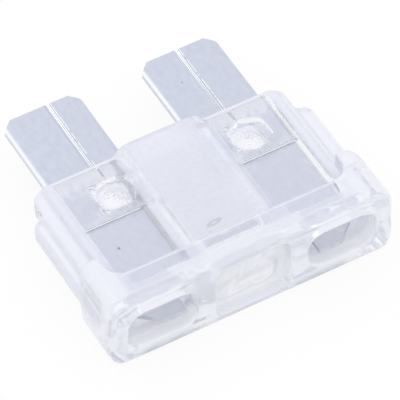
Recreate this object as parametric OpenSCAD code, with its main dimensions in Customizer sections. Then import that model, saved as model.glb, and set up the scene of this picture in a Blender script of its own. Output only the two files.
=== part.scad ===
// Automotive blade fuse, regular size, lying flat on its back.
// A folded sheet element with two blades is held in a one-piece clear housing.
// X runs across the blades, +Y towards the blade tips and +Z up through the thickness.
// Lengths named "from the head" are measured from the outer face of the head.

/* [Head] */
// Length of the whole fuse, from the face of the head to the blade tips
fuse_l = 18.5; // [18:0.1:20]
// Width of the head
head_w = 19.4; // [19.3:0.1:20]
// Thickness of the head
head_t = 5.1; // [5.1:0.1:5.6]
// Length of the head, from its face to its shoulders
head_l = 4.4; // [4.2:0.1:5]
// Radius of the head's four long corners
head_corner_r = 1.4; // [0.6:0.1:1.6]
// Radius between the head's face and its sides, seen from the front
head_side_r = 0.6; // [0.3:0.1:1.2]
// Radius of the shoulders, seen from the front
shoulder_r = 1.0; // [0.3:0.1:1.2]
// Radius of the edges around the head's face
face_edge_r = 0.35; // [0.15:0.05:0.5]
// Length from the head to the ledge where the broad faces step down
ledge_y = 2.6; // [2.45:0.05:2.8]

/* [Body] */
// Length from the head to the end that the blades leave by
body_end_y = 12.0; // [11.8:0.1:12.6]
// Width of the two broad faces with the windows
pane_w = 16.0; // [15.6:0.1:16.2]
// Thickness of the body over those two faces
pane_t = 3.1; // [2.9:0.05:3.3]
// Thickness of the body over its middle bridge
bridge_t = 3.9; // [3.7:0.05:4.2]
// Width of the flat top of the bridge
bridge_flat_w = 4.1; // [3.8:0.1:4.4]
// Width of the rounded shoulder on each side of the bridge
bridge_shoulder_w = 0.9; // [0.7:0.05:1.1]
// Width of the body over the rail along each side
body_w = 17.5; // [17:0.1:17.8]
// Thickness of the rails
rail_t = 1.9; // [1.7:0.05:2.4]
// Radius along the outer edges of the rails
rail_edge_r = 0.6; // [0.3:0.05:0.8]
// Radius of the corners where the rails end, seen from the front
rail_end_r = 0.7; // [0.5:0.1:1.2]
// Length of the sloping lead-out where each pane ends
lead_out_l = 1.15; // [0.8:0.05:1.4]
// Drop of that lead-out
lead_out_drop = 0.35; // [0.2:0.05:0.45]

/* [Side wings] */
// Width over the two thin wings at the sides
wing_w = 19.3; // [18.7:0.1:19.3]
// Thickness of the wings
wing_t = 1.3; // [1.1:0.1:1.6]
// Length from the head to the end of the wings
wing_end_y = 10.2; // [9.5:0.1:11]
// Radius of the wings' free corners, seen from the front
wing_corner_r = 0.7; // [0.5:0.1:1.3]
// Radius along the wings' outer edges
wing_edge_r = 0.45; // [0.2:0.05:0.5]

/* [Test pockets] */
// Length of each test pocket across the head
pocket_w = 4.6; // [4.2:0.1:4.8]
// Height of each test pocket through the thickness
pocket_t = 2.6; // [2.2:0.1:3]
// Depth of each test pocket
pocket_depth = 1.6; // [1.2:0.1:1.9]
// Corner radius of each test pocket
pocket_r = 1.0; // [0.6:0.1:1.1]
// Distance from the middle of one test pocket to the middle of the other
pocket_pitch = 12.15; // [11.95:0.05:12.4]

/* [Number recess] */
// Width of the recess for the rating number
recess_w = 5.0; // [4.2:0.1:5.2]
// Height of the recess through the thickness
recess_t = 3.9; // [3.6:0.1:4.5]
// Depth of the recess
recess_depth = 1.0; // [0.5:0.1:1.2]
// Corner radius of the recess
recess_r = 0.5; // [0.3:0.1:0.8]

/* [Link chamber] */
// Width of the hollow around the fusible link
chamber_w = 4.1; // [3.7:0.1:4.1]
// Height of the hollow through the thickness
chamber_t = 2.2; // [1.8:0.1:2.4]
// Space between the link and the closed end of the hollow
chamber_end_gap = 0.3; // [0.2:0.05:0.4]

/* [Blades] */
// Width of each blade
blade_w = 5.4; // [5.1:0.05:5.45]
// Thickness of each blade, folded double
blade_t = 0.65; // [0.6:0.01:0.7]
// Distance from the middle of one blade to the middle of the other
blade_pitch = 9.55; // [9.5:0.05:9.65]
// Length of the cut-off corners at the blade tips
tip_cut = 0.7; // [0.4:0.05:0.9]
// Space left inside the folded sheet
fold_gap = 0.04; // [0.02:0.01:0.08]
// Length from the head to the ends of the folded flaps
flap_y = 7.8; // [7.6:0.1:8]
// Width of the seam between the flaps, where they end in the housing
seam_w = 0.12; // [0.08:0.01:0.2]
// Width of the seam at the blade tips
seam_tip_w = 0.24; // [0.16:0.01:0.5]
// Shift of the left blade's seam from the middle of the blade
seam_shift_left = 0.6; // [0.2:0.1:0.8]
// Shift of the right blade's seam from the middle of the blade
seam_shift_right = 0.1; // [0:0.05:0.5]

/* [Terminals and link] */
// Step from the outer edge of a blade to the outer edge of its terminal
terminal_step = 0.18; // [0.1:0.01:0.25]
// Width of each terminal inside the housing, above the flaps
terminal_w = 4.1; // [3.8:0.1:4.3]
// Width of each test tab
tab_w = 2.8; // [2.6:0.05:3]
// Width of each test tab at its tip
tab_tip_w = 1.5; // [1.2:0.1:1.8]
// Length of the slanted corner of each test tab
tab_cut_l = 1.2; // [0.8:0.1:1.5]
// Depth of the tab tips below the face of the head
tab_inset = 0.05; // [0.05:0.05:0.3]
// Length from the head to the near edge of the fusible link
link_y = 2.55; // [2.5:0.05:2.6]
// Width of the fusible link
link_w = 1.2; // [1:0.05:1.25]
// Width of the link at its waist
link_waist_w = 0.9; // [0.75:0.05:0.95]
// Radius of the notch that makes the waist
waist_r = 0.6; // [0.5:0.05:0.8]

/* [Stakes] */
// Length from the head to the middle of the stakes
stake_y = 9.15; // [9.1:0.05:9.25]
// Shift of the stakes from the middle of the blades, towards the bridge
stake_shift = 0.13; // [0.1:0.01:0.2]
// Shift of both stakes to the right, from the middle of the fuse
stakes_off = 0.2; // [0:0.05:0.25]
// Diameter of the plug that passes through the element
stake_d = 1.6; // [1.4:0.05:1.7]
// Diameter of the dimple that the punch leaves over each stake
dimple_d = 2.7; // [2.4:0.1:2.9]
// Depth of that dimple
dimple_depth = 0.35; // [0.2:0.05:0.4]
// Width of the hole in the element for the stake
hole_w = 2.1; // [2.05:0.05:2.3]
// Length of that hole
hole_l = 2.5; // [2.4:0.05:2.7]
// Shift of the hole from the middle of the stake, towards the tips
hole_shift = 0.4; // [0.3:0.01:0.42]

/* [Fits] */
// Clearance between the element and its slot in the housing
slot_gap = 0.04; // [0.02:0.01:0.06]

/* [Hidden] */
$fn = 64;
beyond = 1;
mid_z = head_t / 2;
sheet_t = (blade_t - fold_gap) / 2;
sheet_z = mid_z - blade_t / 2;
blade_x = blade_pitch / 2;
blade_out_x = blade_x + blade_w / 2;
terminal_out_x = blade_out_x - terminal_step;
terminal_in_x = terminal_out_x - terminal_w;
tab_in_x = terminal_out_x - tab_w;
tab_tip_x = tab_in_x + tab_tip_w;
stake_x = blade_x - stake_shift;
pane_z = mid_z + pane_t / 2;
bridge_step = (bridge_t - pane_t) / 2;
bridge_r = (pow(bridge_shoulder_w, 2) + pow(bridge_step, 2)) / (2 * bridge_step);
join_y = (ledge_y + head_l) / 2;
chamber_y = link_y - chamber_end_gap;
notch_depth = link_w - link_waist_w;

// Rectangle centred on the origin, with round corners
module round_rect(w, h, r) {
    square([w - 2 * r, h], center = true);
    square([w, h - 2 * r], center = true);
    for (x = [-1, 1], y = [-1, 1])
        translate([x * (w / 2 - r), y * (h / 2 - r)]) circle(r);
}

// Strip centred on the origin, with full round ends
module round_strip(l, d) {
    square([l - d, d], center = true);
    for (x = [-1, 1]) translate([x * (l - d) / 2, 0]) circle(d / 2);
}

// Outline seen from the front, with one corner radius at each end
module plan_outline(w, y0, y1, r0, r1) {
    l = y1 - y0;
    intersection() {
        translate([0, y0 + l]) round_rect(w, 2 * l, r0);
        translate([0, y1 - l]) round_rect(w, 2 * l, r1);
    }
}

// Repeats what is drawn at the origin at both stakes
module at_stakes() {
    for (x = [-1, 1]) translate([stakes_off + x * stake_x, stake_y, 0]) children();
}

// Runs a section, drawn in X and Z, from y0 to y1
module along_y(y0, y1) {
    translate([0, y1, 0]) rotate([90, 0, 0]) linear_extrude(y1 - y0) children();
}

// Runs a section, drawn in Y and Z, from x0 to x1
module along_x(x0, x1) {
    translate([x0, 0, 0]) rotate([90, 0, 90]) linear_extrude(x1 - x0) children();
}

// Repeats what is drawn for the right side on the left side too
module both_sides() {
    children();
    mirror([1, 0, 0]) children();
}

// Repeats what is drawn for the front face on the back face too
module both_faces() {
    children();
    translate([0, 0, head_t]) mirror([0, 0, 1]) children();
}

// Solid head, with round corners, shoulders and face edges
module head_block() {
    intersection() {
        along_y(0, head_l) translate([0, mid_z]) round_rect(head_w, head_t, head_corner_r);
        linear_extrude(head_t) plan_outline(head_w, 0, head_l, head_side_r, shoulder_r);
        along_x(-head_w / 2, head_w / 2) translate([head_l, mid_z])
            round_rect(2 * head_l, head_t, face_edge_r);
    }
}

// What is cut from the head's broad faces to make the ledge and the panes
module ledge_cut() {
    both_faces() translate([0, 0, pane_z]) linear_extrude(head_t)
        plan_outline(pane_w, ledge_y, body_end_y + beyond, shoulder_r, shoulder_r);
}

// Section of the body: broad faces that step down to a lower rail on each side
module body_section() {
    translate([0, mid_z]) {
        square([pane_w, pane_t], center = true);
        round_rect(body_w, rail_t, rail_edge_r);
    }
}

// Section of the bridge: a flat with a large round shoulder on each side
module bridge_section() {
    translate([0, mid_z]) square([bridge_flat_w, bridge_t], center = true);
    intersection() {
        translate([0, mid_z])
            square([bridge_flat_w + 2 * bridge_shoulder_w, bridge_t], center = true);
        for (x = [-1, 1], z = [-1, 1])
            translate([x * bridge_flat_w / 2, mid_z + z * (bridge_t / 2 - bridge_r)]) circle(bridge_r);
    }
}

// Thin wings at the sides, at the height of the element
module wings() {
    intersection() {
        along_y(join_y, wing_end_y) translate([0, mid_z]) round_rect(wing_w, wing_t, wing_edge_r);
        linear_extrude(head_t) plan_outline(wing_w, join_y, wing_end_y, shoulder_r, wing_corner_r);
    }
}

// Outside of the housing, without its hollows
module shell_block() {
    difference() {
        head_block();
        ledge_cut();
    }
    intersection() {
        along_y(join_y, body_end_y) body_section();
        linear_extrude(head_t) plan_outline(body_w, join_y, body_end_y, shoulder_r, rail_end_r);
    }
    along_y(ledge_y - face_edge_r, body_end_y) bridge_section();
    wings();
}

// Wedge that slopes the end of each pane
module lead_outs() {
    both_faces() both_sides()
        along_x(bridge_flat_w / 2 + bridge_shoulder_w, pane_w / 2 + beyond)
            polygon([[body_end_y - lead_out_l, pane_z], [body_end_y, pane_z - lead_out_drop],
                     [body_end_y + beyond, pane_z - lead_out_drop], [body_end_y + beyond, head_t]]);
}

// Openings in the face of the head: a test pocket over each tab and the number recess
module head_openings() {
    both_sides() along_y(-beyond, pocket_depth)
        translate([pocket_pitch / 2, mid_z]) round_rect(pocket_w, pocket_t, pocket_r);
    along_y(-beyond, recess_depth) translate([0, mid_z]) round_rect(recess_w, recess_t, recess_r);
}

// Hollow that the element slides into from the body's open end
module element_slot() {
    blade_slot_x = blade_out_x + slot_gap;
    terminal_slot_x = terminal_out_x + slot_gap;
    translate([-blade_slot_x, flap_y - slot_gap, sheet_z - slot_gap])
        cube([2 * blade_slot_x, body_end_y - flap_y + beyond, blade_t + 2 * slot_gap]);
    translate([-terminal_slot_x, link_y - slot_gap, sheet_z - slot_gap])
        cube([2 * terminal_slot_x, flap_y - link_y + slot_gap, sheet_t + 2 * slot_gap]);
    both_sides() translate([tab_in_x - slot_gap, pocket_depth - slot_gap, sheet_z - slot_gap])
        cube([tab_w + 2 * slot_gap, link_y - pocket_depth + slot_gap, sheet_t + 2 * slot_gap]);
    translate([-chamber_w / 2, chamber_y, mid_z - chamber_t / 2])
        cube([chamber_w, body_end_y - chamber_y + beyond, chamber_t]);
}

// Plug of each stake, through the element from one wall to the other
module stakes() {
    at_stakes() translate([0, 0, sheet_z - 2 * slot_gap])
        cylinder(h = blade_t + 4 * slot_gap, d = stake_d);
}

// Dimples left in both faces where the stakes were punched
module dimples() {
    both_faces() at_stakes() translate([0, 0, pane_z - dimple_depth])
        cylinder(h = head_t, d = dimple_d);
}

// One clear moulding: head, body, bridge, rails and wings, staked through the element
module housing() {
    color([0.9, 0.91, 0.96, 0.45]) translate([0, -fuse_l / 2, 0]) {
        difference() {
            shell_block();
            lead_outs();
            head_openings();
            element_slot();
            dimples();
        }
        stakes();
    }
}

// Flat outline of the element above the flaps, right half
module terminal_outline() {
    polygon([[0, link_y], [tab_in_x, link_y], [tab_in_x, tab_inset], [tab_tip_x, tab_inset],
             [terminal_out_x, tab_inset + tab_cut_l], [terminal_out_x, flap_y], [terminal_in_x, flap_y],
             [terminal_in_x, link_y + link_w], [0, link_y + link_w]]);
}

// Section of a blade: a sheet folded flat on itself from both sides
module folded_section() {
    difference() {
        round_strip(blade_w, blade_t);
        round_strip(blade_w - blade_t + fold_gap, fold_gap);
    }
}

// Outline of a blade, with its tip corners cut off
module blade_outline() {
    half_w = blade_w / 2;
    polygon([[-half_w, flap_y], [half_w, flap_y], [half_w, fuse_l - tip_cut],
             [half_w - tip_cut, fuse_l], [tip_cut - half_w, fuse_l], [-half_w, fuse_l - tip_cut]]);
}

// Seam between the two flaps of a blade, wider at the tip
module seam() {
    polygon([[-seam_w / 2, flap_y - beyond], [seam_w / 2, flap_y - beyond],
             [seam_tip_w / 2, fuse_l + beyond], [-seam_tip_w / 2, fuse_l + beyond]]);
}

// One folded blade, with its seam at a distance from its middle
module blade(x, seam_shift) {
    translate([x, 0, 0]) difference() {
        intersection() {
            along_y(flap_y, fuse_l) translate([0, mid_z]) folded_section();
            linear_extrude(head_t) blade_outline();
        }
        translate([seam_shift, 0, mid_z]) linear_extrude(blade_t) seam();
    }
}

// Flat part of the element: terminals, test tabs and the fusible link with its waist
module terminals_and_link() {
    translate([0, 0, sheet_z]) linear_extrude(sheet_t) difference() {
        both_sides() terminal_outline();
        translate([0, link_y + link_w + waist_r - notch_depth]) circle(waist_r);
    }
}

// One stamped and folded sheet: two blades, their terminals and the link between them
module fuse_element() {
    color([0.78, 0.8, 0.85]) translate([0, -fuse_l / 2, 0]) difference() {
        union() {
            blade(-blade_x, seam_shift_left);
            blade(blade_x, seam_shift_right);
            terminals_and_link();
        }
        at_stakes() translate([0, hole_shift, mid_z])
            cube([hole_w, hole_l, 2 * blade_t], center = true);
    }
}

housing();
fuse_element();
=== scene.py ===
import math

import bmesh
import bpy
from mathutils import Matrix, Vector, noise


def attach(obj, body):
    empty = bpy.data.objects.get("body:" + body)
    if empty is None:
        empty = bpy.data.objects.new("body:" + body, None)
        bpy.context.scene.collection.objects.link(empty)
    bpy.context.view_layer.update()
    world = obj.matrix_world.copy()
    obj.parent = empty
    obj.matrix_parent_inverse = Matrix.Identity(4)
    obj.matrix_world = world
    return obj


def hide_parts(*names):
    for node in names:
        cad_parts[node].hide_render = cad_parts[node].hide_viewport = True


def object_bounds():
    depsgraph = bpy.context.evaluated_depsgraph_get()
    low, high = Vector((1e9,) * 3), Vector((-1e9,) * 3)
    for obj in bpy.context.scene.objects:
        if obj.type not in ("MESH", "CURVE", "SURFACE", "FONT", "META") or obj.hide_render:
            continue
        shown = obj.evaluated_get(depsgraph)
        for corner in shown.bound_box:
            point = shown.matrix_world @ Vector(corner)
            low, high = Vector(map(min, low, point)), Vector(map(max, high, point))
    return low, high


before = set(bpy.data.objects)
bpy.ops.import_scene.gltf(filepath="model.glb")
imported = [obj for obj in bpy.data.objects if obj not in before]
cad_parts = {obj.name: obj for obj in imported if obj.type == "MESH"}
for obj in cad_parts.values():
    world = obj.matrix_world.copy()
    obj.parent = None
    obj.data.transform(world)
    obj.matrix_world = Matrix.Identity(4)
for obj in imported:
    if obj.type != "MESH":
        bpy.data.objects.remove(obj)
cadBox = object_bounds()
mm = 0.001


class Wire:
    # one output of a node, so that shader maths reads as plain sums
    def __init__(self, paint, socket):
        self.paint = paint
        self.socket = socket

    def __add__(self, other):
        return self.paint.maths("ADD", self, other)

    def __radd__(self, other):
        return self.paint.maths("ADD", other, self)

    def __sub__(self, other):
        return self.paint.maths("SUBTRACT", self, other)

    def __rsub__(self, other):
        return self.paint.maths("SUBTRACT", other, self)

    def __mul__(self, other):
        return self.paint.maths("MULTIPLY", self, other)

    def __rmul__(self, other):
        return self.paint.maths("MULTIPLY", other, self)


class Paint:
    # a node material, or the world, built one node at a time
    def __init__(self, name, settings=None, owner=None):
        self.settings = settings
        self.owner = owner or bpy.data.materials.new(name)
        self.owner.use_nodes = True
        self.tree = self.owner.node_tree
        self.tree.nodes.clear()

    def node(self, kind, settings=None, sockets=None, output=0):
        made = self.tree.nodes.new(kind)
        for key, value in (settings or {}).items():
            setattr(made, key, value)
        pairs = enumerate(sockets) if isinstance(sockets, list) else (sockets or {}).items()
        for key, value in pairs:
            socket = made.inputs[key]
            if isinstance(value, Wire):
                self.tree.links.new(value.socket, socket)
            elif socket.type == "RGBA" and len(value) == 3:
                socket.default_value = (*value, 1)
            else:
                socket.default_value = value
        return Wire(self, made.outputs[output]) if made.outputs else None

    def maths(self, operation, *values):
        return self.node("ShaderNodeMath", {"operation": operation}, list(values))

    def size(self, value):
        return self.maths("ABSOLUTE", value)

    def reach(self, offX, offY):
        return self.maths("SQRT", offX * offX + offY * offY)

    def isOnRight(self, across):
        return self.maths("GREATER_THAN", across, 0.0)

    def blend(self, share, first, second):
        settings = {"data_type": "RGBA", "clamp_factor": True}
        return self.node("ShaderNodeMix", settings, {0: share, 6: first, 7: second}, 2)

    def geometry(self, name):
        return self.node("ShaderNodeNewGeometry", output=name)

    def axes(self):
        place = self.geometry("Position")
        return [self.node("ShaderNodeSeparateXYZ", None, [place], i) for i in range(3)]

    def grain(self, name, detail):
        # noise, stretched so that one pattern step has the size that the settings give, in mm
        steps = tuple(1 / (size * mm) for size in self.settings[name])
        place = self.geometry("Position")
        coords = self.node("ShaderNodeVectorMath", {"operation": "MULTIPLY"}, [place, steps])
        return self.node("ShaderNodeTexNoise", None, {"Vector": coords, "Detail": detail})

    def stretched(self, value, ends):
        return self.node("ShaderNodeMapRange", None, [value, *ends, 0.0, 1.0])

    def step(self, value, start, end):
        # 0 before start and 1 after end, with a soft change between them
        settings = {"interpolation_type": "SMOOTHSTEP"}
        return self.node("ShaderNodeMapRange", settings, [value, start * mm, end * mm, 0.0, 1.0])

    def fade(self, value, name):
        return self.step(value, *self.settings["fades"][name])

    def band(self, value, name):
        # 1 from low to high, with soft edges outside them
        low, high, soft = self.settings["bands"][name]
        return self.step(value, low - soft, low) * self.step(value, high + soft, high)


def towards(value, share, goal):
    return value + share * (goal - value)


def offPair(across, right, pair):
    # how far across from the left or the right one of a pair of places, given in mm
    return across - towards(pair[0], right, pair[1]) * mm


housing = {
    "voxel": 0.12,               # mm, the size of the mesh's faces after the corners are eased
    "easing": 14,                # turns of smoothing outside, and on the walls of the slot
    "slotEasing": 2,
    "easingFactor": 0.5,
    "middleUp": 2.55,            # mm, half of the thickness
    "slotHalf": 0.6,             # mm, what lies this close to the middle faces the element
    "slotAcross": (3.3, 7.15),
    "slotEnd": -7.0,
    "number": "25",
    "numberHeight": 3.3,         # mm
    "numberWidth": 3.9,
    "numberRaise": 0.26,
    "numberRoot": 0.3,           # how far it reaches into the floor of the recess
    "numberPlace": (0.1, 2.5),   # across the head and up its face
    "numberSlant": 0.12,
    "numberSteps": 6,
    "recessFloor": -8.25,
    "stakeX": (-4.445, 4.845),   # mm, the middles of the two stakes
    "stakeY": -0.1,
    "craterR": 1.35,
    "craterReach": 0.4,          # how far past the rim the surface is torn
    "craterSeed": 1,             # not 0, which would tear it differently each run
    "craterLumps": ((1.7, 0.2), (4.5, 0.07)),   # for each, how close together and how high, in mm
    "craterDrag": (1.3, 0.2),    # the same for the pull sideways
    "craterWay": (-0.5, 0.87),   # across and along, where the rim closes in
    "craterClosing": 0.25,       # mm, how far it does, and over what width
    "craterWidth": 0.5,
    "gateMark": (-0.63, -5.59),  # mm
}


def ratingNumber():
    # the rating's plain figures as a closed solid, standing on the floor of the number recess
    words = bpy.data.curves.new("rating", "FONT")
    words.body = housing["number"]
    words.extrude = 0.5          # any depth will do, because the figures are scaled below
    words.resolution_u = housing["numberSteps"]
    words.shear = housing["numberSlant"]
    holder = bpy.data.objects.new("rating", words)
    bpy.context.scene.collection.objects.link(holder)
    made = bpy.data.meshes.new_from_object(holder.evaluated_get(bpy.context.evaluated_depsgraph_get()))
    bpy.data.objects.remove(holder)
    figures = bmesh.new()
    figures.from_mesh(made)
    bpy.data.meshes.remove(made)
    bmesh.ops.remove_doubles(figures, verts=figures.verts, dist=1e-5)
    low = [min(v.co[i] for v in figures.verts) for i in range(3)]
    high = [max(v.co[i] for v in figures.verts) for i in range(3)]
    across, up = housing["numberPlace"]
    root = housing["numberRoot"]
    for v in figures.verts:
        part = [(v.co[i] - low[i]) / (high[i] - low[i]) for i in range(3)]
        v.co = (across + (part[0] - 0.5) * housing["numberWidth"],
                housing["recessFloor"] + root - part[2] * (root + housing["numberRaise"]),
                up + (part[1] - 0.5) * housing["numberHeight"])
    return figures


def applied(piece, name):
    made = bpy.data.meshes.new_from_object(piece.evaluated_get(bpy.context.evaluated_depsgraph_get()))
    old = piece.data
    piece.modifiers.clear()
    piece.data = made
    bpy.data.meshes.remove(old)
    made.name = name


def inSlot(co):
    # the walls that face the element are hardly eased, apart from those at its side edges
    low, high = housing["slotAcross"]
    near = abs(co.z - housing["middleUp"]) < housing["slotHalf"]
    return near and low < abs(co.x) < high and co.y > housing["slotEnd"]


def roughenStakes(mesh):
    # the punch leaves each stake as a torn crater with a ragged, pushed-up rim, in mm
    radius, rim = housing["craterR"], housing["craterReach"]
    wayX, wayY = housing["craterWay"]
    often, far = housing["craterDrag"]
    noise.seed_set(housing["craterSeed"])
    for v in mesh.vertices:
        for side, middle in enumerate(housing["stakeX"]):
            across, along = v.co.x - middle, v.co.y - housing["stakeY"]
            reach = math.hypot(across, along)
            up = v.co.z - housing["middleUp"]
            inside = radius + rim - reach
            if inside > 0 and abs(up) > housing["slotHalf"]:
                near = min(1.0, inside / rim)
                # each of the four craters has a place of its own in the noise
                spot = Vector((v.co.x, v.co.y, side * 7 + math.copysign(2.0, up)))
                torn = sum(noise.noise(spot * close) * high for close, high in housing["craterLumps"])
                v.co.z += math.copysign(torn * near, up)
                drag = noise.noise_vector(spot * often) * far * near
                v.co.x += drag.x
                v.co.y += drag.y
                # the rim closes in towards the tips and the left
                length = max(reach, 0.01)
                toCorner = max(0.0, (along * wayY + across * wayX) / length)
                atRim = max(0.0, 1 - abs(reach - radius) / housing["craterWidth"])
                closed = housing["craterClosing"] * toCorner * atRim
                v.co.x -= closed * across / length
                v.co.y -= closed * along / length


def softened(solid, name):
    # the same form with its corners eased as moulding leaves them, in mm while it is worked
    mesh = bpy.data.meshes.new(name)
    solid.to_mesh(mesh)
    solid.free()
    piece = bpy.data.objects.new(name, mesh)
    bpy.context.scene.collection.objects.link(piece)
    skin = piece.modifiers.new("skin", "REMESH")
    skin.mode = "VOXEL"
    skin.voxel_size = housing["voxel"]
    skin.use_smooth_shade = True
    applied(piece, name)
    roughenStakes(piece.data)
    outside = piece.vertex_groups.new(name="outside")
    outside.add([v.index for v in piece.data.vertices if not inSlot(v.co)], 1.0, "REPLACE")
    for group, turns in (("", housing["slotEasing"]), ("outside", housing["easing"])):
        smooth = piece.modifiers.new("easing", "SMOOTH")
        smooth.factor = housing["easingFactor"]
        smooth.iterations = turns
        smooth.vertex_group = group
    applied(piece, name)
    return piece


def makeHousing():
    solid = bmesh.new()
    solid.from_mesh(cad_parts["housing"].data)
    bmesh.ops.remove_doubles(solid, verts=solid.verts, dist=1e-7)
    bmesh.ops.scale(solid, vec=Vector((1 / mm,) * 3), verts=solid.verts)
    figures = ratingNumber()
    joined = bpy.data.meshes.new("joined")
    figures.to_mesh(joined)
    figures.free()
    solid.from_mesh(joined)
    bpy.data.meshes.remove(joined)
    piece = softened(solid, "moulded_housing")
    piece.data.transform(Matrix.Scale(mm, 4))
    piece.data.materials.append(clearPlastic())
    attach(piece, "root")
    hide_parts("housing")


plastic = {
    "tint": (0.945, 0.953, 0.99),
    "ior": 1.585,
    "rough": 0.03,
    "toolRough": 0.14,           # where the tool left a dull face
    "frostRough": 0.35,          # on the bridge and on the slot's ends
    "veilRough": 0.45,
    "veil": (0.82, 0.835, 0.94),
    "broadVeil": (0.77, 0.785, 0.895),
    "cloudVeil": (0.69, 0.70, 0.84),
    "markColour": (0.5, 0.51, 0.57),
    "footColour": (0.58, 0.62, 0.70),
    "tornColour": (0.93, 0.935, 0.99),
    "recessColour": (0.94, 0.955, 1.0),
    "brinkShare": 0.6,           # how much of the broad painted shade the brink takes
    "cloudShare": 0.5,
    "cloudSize": [1.6] * 3,      # mm
    "cloudEnds": (0.35, 0.65),   # the noise values that are 0 and 1 in a cloud
    "pocketDull": 0.5,           # against 1 for the number recess
    "tornSize": [0.8] * 3,       # mm
    "tornEdge": 0.7,             # mm, how ragged a crater's edge is, and the white part in it
    "tornWhite": 2.2,
    "whiteWay": (0.8, 0.5),      # across and along, where the white part thins out
    "whiteLeast": 0.25,
    "ringNarrow": 0.36,          # the form of the gate's mark, and how far it leans
    "ringLean": (0.06, 0.16),
    "footMiddle": -0.75,         # mm
    # how cloudy each zone is, from 0, clear, to 1, white: a later zone covers those above it
    "cloudy": {
        "body": 0.5,
        "window": 0.03,
        "bridge": 0.66,
        "mouth": 0.85,
        "rail": 0.6,
        "brink": 0.82,           # beside the rails, where the panes end
        "shoulder": 0.5,
        "head": 0.2,
        "thick": 0.62,           # the head, where there is no metal in it
        "edge": 0.65,            # the head's edge towards the body, clouded white as a painted highlight on its rounded edge
        "face": 0.46,
        "dull": 0.72,
        "stake": 0.8,
        "mark": 0.6,
        "foot": 0.6,
    },
    # mm, where each zone starts and where it is full
    "fades": {
        "mouth": (2.2, 2.4),     # along
        "head": (-5.9, -6.5),
        "slotStart": (-7.9, -7.6),
        "metalStart": (-7.95, -7.65),
        "face": (-8.3, -8.8),
        "faceFoot": (-8.8, -9.0),
        "linkSide": (2.0, 2.3),  # out from the middle of the width
        "bridgeSide": (2.3, 2.5),
        "recessSide": (2.5, 2.7),
        "pocketSide": (3.4, 3.6),
        "rail": (7.5, 7.7),
        "paneSide": (7.5, 7.8),
        "side": (8.6, 9.2),
        "slotWall": (0.45, 0.6),   # out from the middle of the thickness
        "brinkFront": (0.9, 1.0),
        "mouthRim": (1.0, 1.1),
        "pocketEdge": (1.3, 1.4),
        "shoulderFront": (1.4, 1.5),
        "broadFront": (1.4, 1.6),
        "paneFront": (1.58, 1.75),
        "bridgeFront": (1.65, 1.8),
        "recessEdge": (1.9, 2.1),
        "headFront": (1.9, 2.2),
        "low": (1.2, 0.5),       # up
        "markFront": (4.2, 4.35),
        "crater": (1.1, 1.5),    # out from a stake's middle, and across it
        "white": (0.5, -0.6),
    },
    # mm, where each band starts and ends, and how wide its soft edges are
    "bands": {
        "headEdge": (-6.95, -6.55, 0.1),   # along
        "pocket": (-7.75, -7.55, 0.1),
        "recess": (-8.65, -7.9, 0.1),
        "shoulder": (2.3, 3.2, 0.12),      # out from the middle of the width
        "slotIn": (2.85, 3.3, 0.04),
        "slotOut": (7.15, 7.6, 0.04),
        "terminal": (3.5, 7.1, 0.2),
        "brink": (7.42, 8.15, 0.08),
        "foot": (3.8, 6.4, 0.8),
        "ring": (0.1, 0.17, 0.06),         # out from the mark's middle
    },
}


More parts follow.
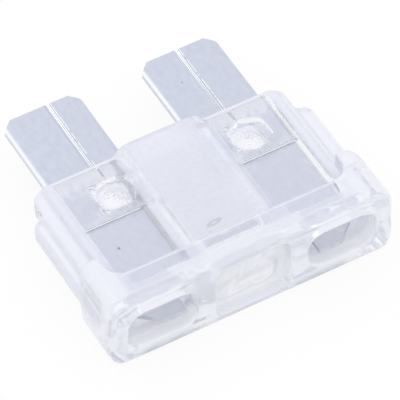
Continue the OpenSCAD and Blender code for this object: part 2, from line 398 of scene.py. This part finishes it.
def clearPlastic():
    paint = Paint("clear_plastic", plastic)
    across, along, up = paint.axes()
    wide = paint.size(across)
    depth = paint.size(up - housing["middleUp"] * mm)

    # the windows are the clearest, and the head's face and sides the cloudiest
    head = paint.fade(along, "head")
    body = 1 - head
    side = paint.fade(wide, "side")
    face = towards(paint.fade(along, "face"), side * head, 1)
    window = (1 - paint.fade(depth, "paneFront")) * (1 - paint.fade(wide, "paneSide"))
    bridge = (1 - paint.fade(wide, "bridgeSide")) * paint.fade(depth, "bridgeFront")
    mouth = paint.fade(along, "mouth") * paint.fade(depth, "mouthRim") * window
    rail = paint.fade(wide, "rail")
    brink = paint.band(wide, "brink") * paint.fade(depth, "brinkFront") * body
    shoulder = paint.band(wide, "shoulder") * paint.fade(depth, "shoulderFront") * body

    # the head is clearest over the link and the terminals, and cloudy between them and beside them
    overMetal = 1 - paint.fade(wide, "linkSide") + paint.band(wide, "terminal")
    overMetal = overMetal * paint.fade(along, "metalStart")
    thick = head * (1 - face) * (1 - overMetal)
    # painted highlight: the head's edge towards the body is clouded white where light catches its rounded
    # edge
    edge = paint.band(along, "headEdge") * paint.fade(depth, "headFront")
    broad = paint.fade(depth, "broadFront") * (1 - rail) * (1 - edge) * (1 - face)
    cloud = paint.stretched(paint.grain("cloudSize", 2.0), plastic["cloudEnds"])

    # the floors of the number recess and of the pockets are dull from the tool
    recess = paint.band(along, "recess") * (1 - paint.fade(wide, "recessSide"))
    recess = recess * (1 - paint.fade(depth, "recessEdge"))
    pocket = paint.band(along, "pocket") * paint.fade(wide, "pocketSide")
    pocket = pocket * (1 - paint.fade(depth, "pocketEdge"))
    dull = recess + pocket * plastic["pocketDull"]

    # the punched stakes are torn and white, most of all towards the head
    offX = offPair(across, paint.isOnRight(across), housing["stakeX"])
    offY = along - housing["stakeY"] * mm
    torn = paint.grain("tornSize", 3.0) - 0.5
    crater = 1 - paint.fade(paint.reach(offX, offY) + torn * plastic["tornEdge"] * mm, "crater")
    wayX, wayY = plastic["whiteWay"]
    white = paint.fade(offY * wayY + offX * wayX - torn * plastic["tornWhite"] * mm, "white")
    stake = crater * towards(plastic["whiteLeast"], white, 1)

    # the mark of the gate on the front of the bridge, a small long ring painted dark as the shade of its
    # shallow dimple
    markX, markY = housing["gateMark"]
    leanX, leanY = plastic["ringLean"]
    offX, offY = across - markX * mm, along - markY * mm
    ring = paint.reach(offX * plastic["ringNarrow"] + offY * leanX, offY - offX * leanY)
    mark = paint.band(ring, "ring") * paint.fade(up, "markFront")

    # painted shade: along the foot of the face the veil is painted darker, where the moulding shows the
    # shaded backs of the terminals
    foot = paint.fade(up, "low") * paint.fade(along, "faceFoot")
    foot = foot * paint.band(paint.size(across - plastic["footMiddle"] * mm), "foot")

    share = plastic["cloudy"]["body"]
    zones = {"window": window, "bridge": bridge, "mouth": mouth, "rail": rail, "brink": brink,
             "shoulder": shoulder, "head": head, "thick": thick, "edge": edge * (1 - rail),
             "face": face, "dull": dull, "stake": stake, "mark": mark, "foot": foot}
    for name, zone in zones.items():
        share = towards(share, zone, plastic["cloudy"][name])
    # painted shade: the broad top faces, and the brinks in part, get a darker veil, darker still in patches
    # over the clouds
    veil = plastic["veil"]
    veils = {"broadVeil": broad + brink * plastic["brinkShare"],
             "cloudVeil": broad * cloud * plastic["cloudShare"],
             # painted light: the floor of the number recess gets a paler veil where it lies in shade
             "markColour": mark, "footColour": foot, "tornColour": stake, "recessColour": recess}
    for name, zone in veils.items():
        veil = paint.blend(zone, veil, plastic[name])

    # only what faces outwards is clouded: the walls of the slot are clear, and frosted at its ends
    within = 1 - paint.fade(depth, "slotWall")
    slot = within * (1 - side) * paint.fade(along, "slotStart")
    outer = (1 - slot) * (1 - paint.geometry("Backfacing"))
    ends = paint.band(wide, "slotIn") + paint.band(wide, "slotOut")
    rough = towards(plastic["rough"], dull + crater, plastic["toolRough"])
    rough = towards(rough, (ends * within + bridge) * body, plastic["frostRough"])
    clear = paint.node("ShaderNodeBsdfPrincipled", None, {
        "Base Color": plastic["tint"], "Roughness": rough, "IOR": plastic["ior"],
        "Transmission Weight": 1.0})
    clouded = paint.node("ShaderNodeBsdfPrincipled", None, {
        "Base Color": veil, "Roughness": plastic["veilRough"], "IOR": plastic["ior"]})
    both = paint.node("ShaderNodeMixShader", None, [share * outer, clear, clouded])
    paint.node("ShaderNodeOutputMaterial", None, {"Surface": both})
    return paint.owner


zinc = {
    "pale": (0.675, 0.71, 0.815),
    "dark": (0.57, 0.61, 0.72),
    "litInsidePale": (0.88, 0.90, 0.96),      # inside the housing, painted paler as painted light
    "litInsideDark": (0.75, 0.78, 0.87),
    "paintedHighlight": (0.93, 0.94, 0.95),
    "line": (0.53, 0.56, 0.64),
    "paintedBright": (0.97, 0.975, 1.0),
    "tabSideShade": (0.58, 0.60, 0.68),
    "speckColour": (0.16, 0.16, 0.19),
    "rough": 0.36,
    "grainRough": 0.2,
    "brightRough": 0.22,                 # how much smoother the bright walls are
    "bump": 0.5,
    "bumpHeight": 0.004,                 # mm
    "streak": [0.1, 3.5, 0.1],           # mm, the size of the rolling lines
    "patch": [1.8, 3.2, 1.8],
    "break": [9.0, 1.6, 9.0],
    "wearEnds": (0.3, 0.7),              # the noise values that are 0 and 1 in the wear
    "breakEnds": (0.42, 0.5),
    "levelEnds": (0.4, 0.6),             # how level the metal lies, from a cut edge to a flat face
    "hazeShift": 0.9,                    # mm, how uneven the haze's edge is, and the strip's
    "stripShift": 0.2,
    "tabShare": 0.6,
    "foldShare": 0.9,
    "stripShares": (0.2, 0.7),           # from a dark patch to a pale one
    "lineShares": (0.4, 1.0),
    "tabEdgeShares": (0.7, 1.0),
    "flapEnd": -1.45,                    # mm
    "seamX": (-4.175, 4.875),
    "leftEdgeX": (-7.475, 2.075),
    "holeY": 0.3,
    "holeHalf": (1.05, 1.25),
    "specks": ((-6.0, -3.55, 0.8), (3.85, 6.62, 0.3)),   # for each, its place and its strength
    # mm, where each zone starts and where it is full
    "fades": {
        "inside": (2.9, 2.5),            # along
        "haze": (0.9, 2.2),
        "tab": (-7.2, -7.6),
        "tabSides": (-7.3, -7.5),
        "seamStart": (-0.02, 0.02),      # along, from the flaps' end
        "front": (2.42, 2.5),            # up
        "top": (2.74, 2.8),              # just under the front of the folded flaps
        "underFlap": (2.86, 2.83),
        "speck": (0.11, 0.07),           # out from its middle
    },
    # mm, where each line starts and ends, and how wide its soft edges are
    "bands": {
        "strip": (0.1, 0.35, 0.25),      # along, from the flaps' end
        "flapFoot": (-0.08, 0.05, 0.03),
        "burr": (0.02, 0.1, 0.02),       # out from the edge of the hole
        "holeWall": (-0.05, 0.004, 0.004),
        "seam": (-0.13, 0.13, 0.02),     # across, from the seam
        "seamSide": (-0.26, -0.2, 0.03),
        "lip": (0.16, 0.2, 0.03),
        "fold": (0.06, 0.14, 0.06),      # across, from the blade's left edge
    },
}


def satinZinc():
    paint = Paint("satin_zinc", zinc)
    across, along, up = paint.axes()
    fine = paint.grain("streak", 3.0)
    streak = paint.stretched(fine, zinc["wearEnds"])
    cloud = paint.stretched(paint.grain("patch", 2.0), zinc["wearEnds"])
    wear = streak * 0.5 + cloud * 0.5
    bare = paint.blend(wear, zinc["dark"], zinc["pale"])
    # painted light: the metal inside the housing is painted much paler than the bare blades
    litInside = paint.blend(wear, zinc["litInsideDark"], zinc["litInsidePale"])
    right = paint.isOnRight(across)
    inside = paint.fade(along, "inside")
    outside = 1 - inside
    front = paint.fade(up, "front")
    top = paint.fade(up, "top")
    colour = paint.blend(inside, bare, litInside)

    # painted light: it is painted palest just inside the mouth, where the plastic over it is hazy, and on
    # the test tabs
    haze = inside * paint.fade(along + (cloud - 0.5) * zinc["hazeShift"] * mm, "haze")
    tab = paint.fade(along, "tab") * zinc["tabShare"]
    colour = paint.blend(haze + tab, colour, zinc["paintedBright"])

    # the ends of the folded flaps: a painted highlight as a pale strip on their front, and a painted shadow
    # as a dark line at the foot of the step
    patchyLine = towards(zinc["lineShares"][0], cloud, zinc["lineShares"][1])
    pastEnd = along - zinc["flapEnd"] * mm
    strip = paint.band(pastEnd + (cloud - 0.5) * zinc["stripShift"] * mm, "strip") * top
    strip = strip * towards(zinc["stripShares"][0], cloud, zinc["stripShares"][1])
    colour = paint.blend(strip, colour, zinc["paintedHighlight"])
    foot = paint.band(pastEnd, "flapFoot") * paint.fade(up, "underFlap") * front
    colour = paint.blend(foot * patchyLine, colour, zinc["line"])

    # the hole for each stake gets painted light on its walls, which lie in shade, and a painted highlight
    # along its burred edge
    halfX, halfY = zinc["holeHalf"]
    holeX = paint.size(offPair(across, right, housing["stakeX"])) - halfX * mm
    holeY = paint.size(along - zinc["holeY"] * mm) - halfY * mm
    hole = paint.maths("MAXIMUM", holeX, holeY)
    colour = paint.blend(paint.band(hole, "burr") * top, colour, zinc["paintedHighlight"])
    walls = paint.band(hole, "holeWall") * (1 - top)
    colour = paint.blend(walls, colour, zinc["paintedBright"])

    # each seam is painted bright between its flaps, painted light where the narrow gap lies in shade, with
    # a painted highlight on its right lip, and the left one has a dark line beside it
    offSeam = offPair(across, right, zinc["seamX"])
    within = paint.band(offSeam, "seam") * paint.fade(pastEnd, "seamStart") * front * (1 - top)
    colour = paint.blend(within, colour, zinc["paintedBright"])
    beside = paint.band(offSeam, "seamSide") * (1 - right) * top * outside
    colour = paint.blend(beside * patchyLine, colour, zinc["line"])
    lip = paint.band(offSeam, "lip") * top * outside
    lip = lip * paint.stretched(paint.grain("break", 2.0), zinc["breakEnds"])

    # light catches the fold along each blade's left edge
    fold = paint.band(offPair(across, right, zinc["leftEdgeX"]), "fold") * outside * front
    colour = paint.blend(lip + fold * zinc["foldShare"], colour, zinc["paintedHighlight"])

    # painted shade: the steep side faces of the test tabs are painted a little darker
    level = paint.node("ShaderNodeSeparateXYZ", None, [paint.geometry("Normal")], 2)
    edges = (1 - paint.stretched(paint.size(level), zinc["levelEnds"])) * paint.fade(along, "tabSides")
    edges = edges * towards(zinc["tabEdgeShares"][0], cloud, zinc["tabEdgeShares"][1])
    colour = paint.blend(edges, colour, zinc["tabSideShade"])

    # small dark specks
    for speckX, speckY, strength in zinc["specks"]:
        speck = paint.fade(paint.reach(across - speckX * mm, along - speckY * mm), "speck")
        colour = paint.blend(speck * front * strength, colour, zinc["speckColour"])

    bump = paint.node("ShaderNodeBump", None, {
        "Strength": zinc["bump"], "Distance": zinc["bumpHeight"] * mm, "Height": fine})
    rough = zinc["rough"] + (fine - 0.5) * zinc["grainRough"] - (within + walls) * zinc["brightRough"]
    shader = paint.node("ShaderNodeBsdfPrincipled", None, {
        "Base Color": colour, "Metallic": 1.0, "Roughness": rough, "Normal": bump})
    paint.node("ShaderNodeOutputMaterial", None, {"Surface": shader})
    return paint.owner


studio = {
    "sky": 1.0,
    "floorColour": (0.9, 0.9, 0.9),
    "shadowDepth": 0.12,
    "floorSize": 1.2,            # m
    "lampPower": 0.08,
    "lampSize": 0.25,
    "lampPlace": (-0.12, 0.20, 0.30),
    # how often light may turn back inside the clear moulding before it comes out
    "bounces": {"max": 32, "glossy": 24, "transmission": 32, "diffuse": 12},
}


def seenShare(paint):
    # 1 where the camera, a reflection or a refraction sees the surface, and 0 where it only gives light
    names = ("Is Camera Ray", "Is Glossy Ray", "Is Transmission Ray")
    camera, glossy, through = [paint.node("ShaderNodeLightPath", output=name) for name in names]
    return paint.maths("MAXIMUM", paint.maths("MAXIMUM", camera, glossy), through)


def makeWorld():
    world = bpy.data.worlds.new("studio")
    bpy.context.scene.world = world
    paint = Paint("studio", owner=world)
    sky = paint.node("ShaderNodeBackground", None, {"Color": (1, 1, 1), "Strength": studio["sky"]})
    paint.node("ShaderNodeOutputWorld", None, {"Surface": sky})


def makeFloor():
    half = studio["floorSize"] / 2
    mesh = bpy.data.meshes.new("floor")
    low = cadBox[0].z
    mesh.from_pydata([(-half, -half, low), (half, -half, low), (half, half, low), (-half, half, low)],
                     [], [(0, 1, 2, 3)])
    floor = bpy.data.objects.new("floor", mesh)
    bpy.context.scene.collection.objects.link(floor)
    paint = Paint("floor")
    # it lights the object as a white table does, and where it is seen it is white with a faint shadow
    table = paint.node("ShaderNodeBsdfDiffuse", None, {"Color": studio["floorColour"]})
    depth = studio["shadowDepth"]
    shade = paint.node("ShaderNodeBsdfDiffuse", None, {"Color": (depth, depth, depth)})
    glow = paint.node("ShaderNodeEmission", None, {"Strength": 1 - depth})
    seen = paint.node("ShaderNodeAddShader", None, [shade, glow])
    both = paint.node("ShaderNodeMixShader", None, [seenShare(paint), table, seen])
    paint.node("ShaderNodeOutputMaterial", None, {"Surface": both})
    floor.data.materials.append(paint.owner)


def makeLamp():
    lamp = bpy.data.lights.new("key", "AREA")
    lamp.energy = studio["lampPower"]
    lamp.size = studio["lampSize"]
    holder = bpy.data.objects.new("key", lamp)
    bpy.context.scene.collection.objects.link(holder)
    holder.location = studio["lampPlace"]
    holder.rotation_euler = (-holder.location).to_track_quat("-Z", "Y").to_euler()


def letLightThrough():
    for kind, turns in studio["bounces"].items():
        setattr(bpy.context.scene.cycles, kind + "_bounces", turns)


shot = {
    "target": (0.000274, -0.002114, 0.00255),
    "azimuth": -26.857,
    "elevation": 48.866,
    "roll": -2.805,
    "distance": 0.23616,
    "lens": 352.94,
    "sensor": 36,
    "nearest": 0.01,
    "farthest": 10,
}


def makeCamera():
    turn, rise = math.radians(shot["azimuth"]), math.radians(shot["elevation"])
    back = Vector((math.sin(turn) * math.cos(rise), -math.cos(turn) * math.cos(rise), math.sin(rise)))
    camera = bpy.data.objects.new("camera", bpy.data.cameras.new("camera"))
    bpy.context.scene.collection.objects.link(camera)
    aim = (-back).to_track_quat("-Z", "Y").to_matrix().to_4x4()
    spin = Matrix.Rotation(math.radians(shot["roll"]), 4, "Z")
    camera.matrix_world = Matrix.Translation(Vector(shot["target"]) + back * shot["distance"]) @ aim @ spin
    camera.data.lens = shot["lens"]
    camera.data.sensor_width = shot["sensor"]
    camera.data.clip_start = shot["nearest"]
    camera.data.clip_end = shot["farthest"]
    bpy.context.scene.camera = camera


print("studio: camera, world, floor and lamp")
bpy.context.scene.view_settings.view_transform = "Standard"
makeCamera()
letLightThrough()
makeWorld()
makeFloor()
makeLamp()

print("housing: softened moulding with the raised rating number")
makeHousing()

print("element: zinc on the CAD node")
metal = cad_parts["fuse_element"].data
metal.materials.clear()
metal.materials.append(satinZinc())
